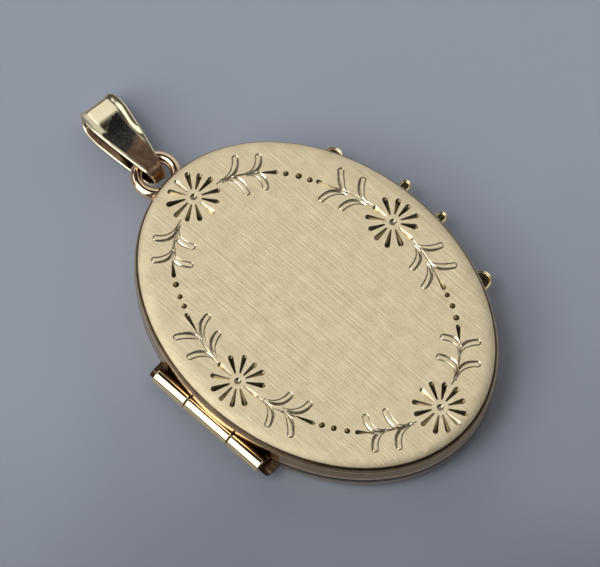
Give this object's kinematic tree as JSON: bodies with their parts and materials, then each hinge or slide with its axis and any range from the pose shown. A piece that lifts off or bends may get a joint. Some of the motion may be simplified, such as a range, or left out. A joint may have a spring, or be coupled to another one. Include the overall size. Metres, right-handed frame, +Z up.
{
  "type": "locket",
  "caption": "Oval hinged photo locket in yellow gold with a satin face, snap rim, inner photo frames, barrel hinge, soldered hanging ring and tapered strap bail",
  "frame": {"origin": "middle of the flat back that the locket lies on", "axes": "+Z up through the front face, +Y along the oval's long axis to the hanging ring, -X to the hinge, +X to the side that opens"},
  "size_m": [0.0251, 0.04, 0.0044],
  "materials": {
    "satin_gold": "satin, finely brushed along the long axis, with an engraved flower garland",
    "polished_gold": "polished",
    "clear_window": "clear gloss",
    "photo_card": "matt"
  },
  "bodies": {
    "back_half": {"back_cover": "satin_gold", "back_snap_rim": "polished_gold", "back_photo_frame": "polished_gold", "back_window": "clear_window", "back_photo_card": "photo_card", "back_thumb_tab": "polished_gold", "hinge_knuckle_upper": "polished_gold", "hinge_knuckle_lower": "polished_gold", "hinge_pin": "polished_gold", "back_hinge_bearer": "polished_gold", "hanging_ring": "polished_gold"},
    "front_half": {"front_cover": "satin_gold", "front_seat_rim": "polished_gold", "front_photo_frame": "polished_gold", "front_window": "clear_window", "front_photo_card": "photo_card", "front_thumb_tab": "polished_gold", "hinge_knuckle_middle": "polished_gold", "front_hinge_bearer": "polished_gold"},
    "bail": {"bail": "polished_gold"}
  },
  "joints": [
    {"name": "cover_hinge", "type": "hinge", "parent": "back_half", "child": "front_half", "pos_m": [-0.0118, 0, 0.0021], "axis": [0, -1, 0], "range_deg": [0, 165]},
    {"name": "bail_swing", "type": "hinge", "parent": "back_half", "child": "bail", "pos_m": [0.00015, 0.01747, 0.00237], "axis": [0.9877, -0.1564, 0], "range_deg": [0, 90]}
  ]
}
